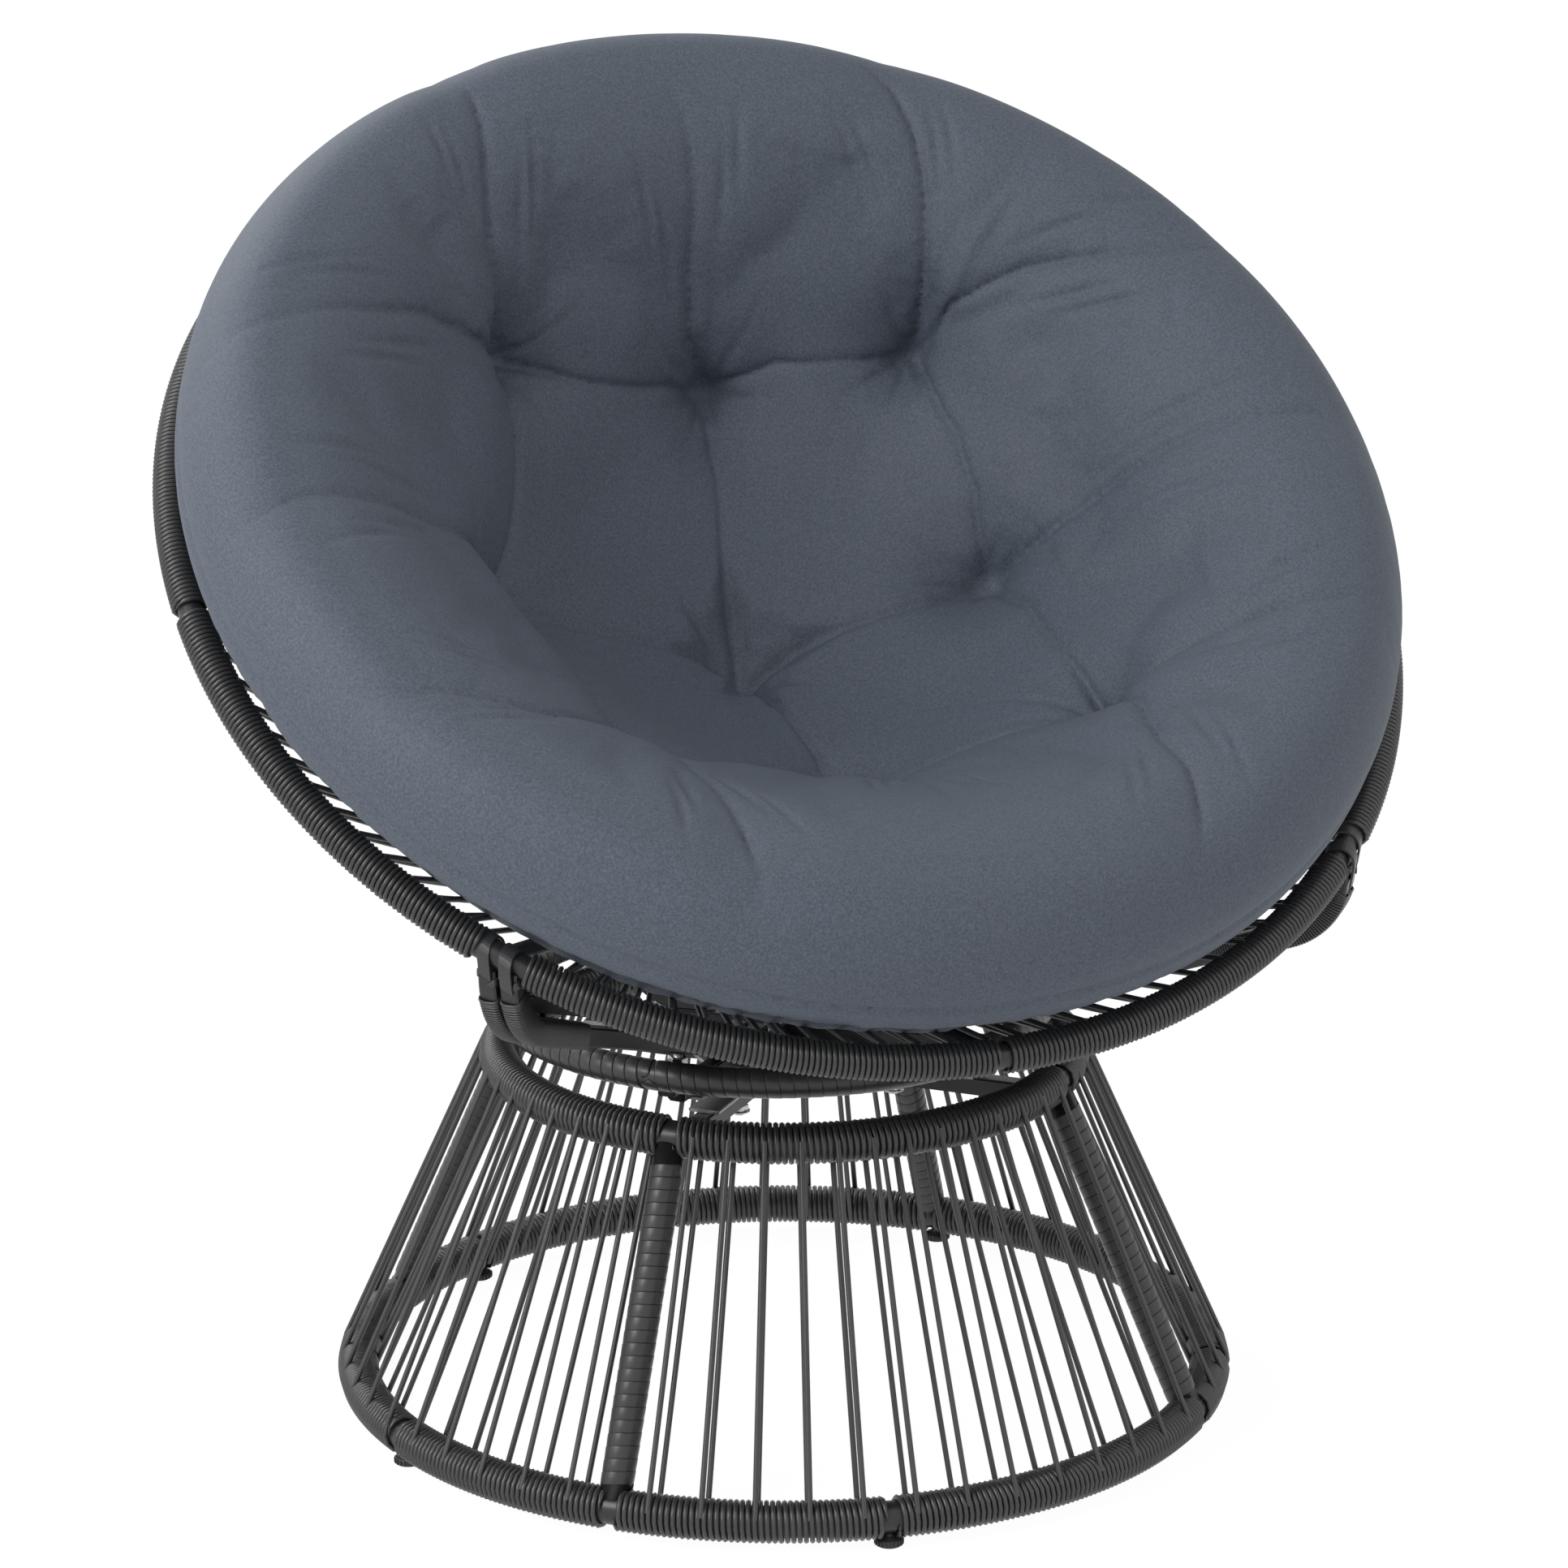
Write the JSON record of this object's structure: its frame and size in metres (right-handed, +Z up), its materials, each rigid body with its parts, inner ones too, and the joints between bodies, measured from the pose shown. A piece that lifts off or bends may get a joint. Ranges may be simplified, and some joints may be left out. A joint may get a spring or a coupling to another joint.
{
  "type": "papasan chair",
  "caption": "Round tilted bowl chair wound with dark cord, on a cord-wound stand with a swivel, holding a thick tufted round cushion",
  "frame": {"origin": "on the floor, in the middle of the plan of the whole chair", "axes": "+Z up, -Y is the front of the seat, +X to the sitter's left as seen from the front"},
  "size_m": [1.0074, 0.8798, 1.0866],
  "materials": {
    "steel": "gloss black powder coat",
    "cord": "round charcoal resin cord with a soft sheen",
    "tape": "flat charcoal resin tape",
    "zinc": "dull zinc-plated pressed steel",
    "glide": "black moulded plastic",
    "cloth": "slate blue-grey woven polyester"
  },
  "bodies": {
    "stand": {"base_ring": "steel", "top_ring": "cord", "stand_leg_1": "tape", "stand_leg_2": "tape", "stand_leg_3": "tape", "stand_leg_4": "tape", "stand_cross_bars": "steel", "swivel_lower_plate": "zinc", "swivel_pin": "zinc", "stand_weave_1": "cord", "stand_weave_2": "cord", "stand_weave_3": "cord", "stand_weave_4": "cord", "stand_weave_5": "cord", "stand_weave_6": "cord", "stand_weave_7": "cord", "stand_weave_8": "cord"},
    "levelling_foot_1": {"glide_foot_1": "glide"},
    "levelling_foot_2": {"glide_foot_2": "glide"},
    "levelling_foot_3": {"glide_foot_3": "glide"},
    "levelling_foot_4": {"glide_foot_4": "glide"},
    "levelling_foot_5": {"glide_foot_5": "glide"},
    "ball_race": {"ball_cage": "zinc"},
    "seat": {"swivel_upper_plate": "zinc", "cradle_cross_bars": "steel", "cradle_ring": "tape", "saddle_arm_1": "cord", "saddle_arm_2": "cord", "saddle_arm_3": "cord", "saddle_arm_4": "cord", "rim_strap_1": "tape", "rim_strap_2": "tape", "rim_strap_3": "tape", "rim_strap_4": "tape", "rear_strut_1": "steel", "rear_strut_2": "steel", "bowl_rim": "steel", "bowl_bottom_ring": "cord", "bowl_rib_1": "steel", "bowl_rib_2": "steel", "bowl_rib_3": "steel", "bowl_rib_4": "steel", "bowl_rib_5": "steel", "bowl_rib_6": "steel", "bowl_rib_7": "steel", "bowl_rib_8": "steel", "bowl_weave_1": "cord", "bowl_weave_2": "cord", "bowl_weave_3": "cord", "bowl_weave_4": "cord", "bowl_weave_5": "cord", "bowl_weave_6": "cord", "bowl_weave_7": "cord", "bowl_weave_8": "cord", "bowl_floor_weave": "cord", "cushion": "cloth"}
  },
  "joints": [
    {"name": "levelling_screw_1", "type": "hinge", "parent": "stand", "child": "levelling_foot_1", "pos_m": [-0.34504, -0.00289, 0.01], "axis": [0, 0, 1], "continuous": true},
    {"name": "levelling_screw_2", "type": "hinge", "parent": "stand", "child": "levelling_foot_2", "pos_m": [-0.05884, -0.29676, 0.01], "axis": [0, 0, 1], "continuous": true},
    {"name": "levelling_screw_3", "type": "hinge", "parent": "stand", "child": "levelling_foot_3", "pos_m": [0.3084, -0.11447, 0.01], "axis": [0, 0, 1], "continuous": true},
    {"name": "levelling_screw_4", "type": "hinge", "parent": "stand", "child": "levelling_foot_4", "pos_m": [0.25021, 0.29161, 0.01], "axis": [0, 0, 1], "continuous": true},
    {"name": "levelling_screw_5", "type": "hinge", "parent": "stand", "child": "levelling_foot_5", "pos_m": [-0.15441, 0.35986, 0.01], "axis": [0, 0, 1], "continuous": true},
    {"name": "seat_swivel", "type": "hinge", "parent": "stand", "child": "seat", "pos_m": [0, 0.04744, 0.29], "axis": [0, 0, 1], "continuous": true},
    {"name": "ball_race_roll", "type": "hinge", "parent": "stand", "child": "ball_race", "pos_m": [0, 0.04744, 0.29], "axis": [0, 0, 1], "continuous": true}
  ],
  "couplings": [
    {"joint": "ball_race_roll", "follows": "seat_swivel", "ratio": 0.5}
  ]
}
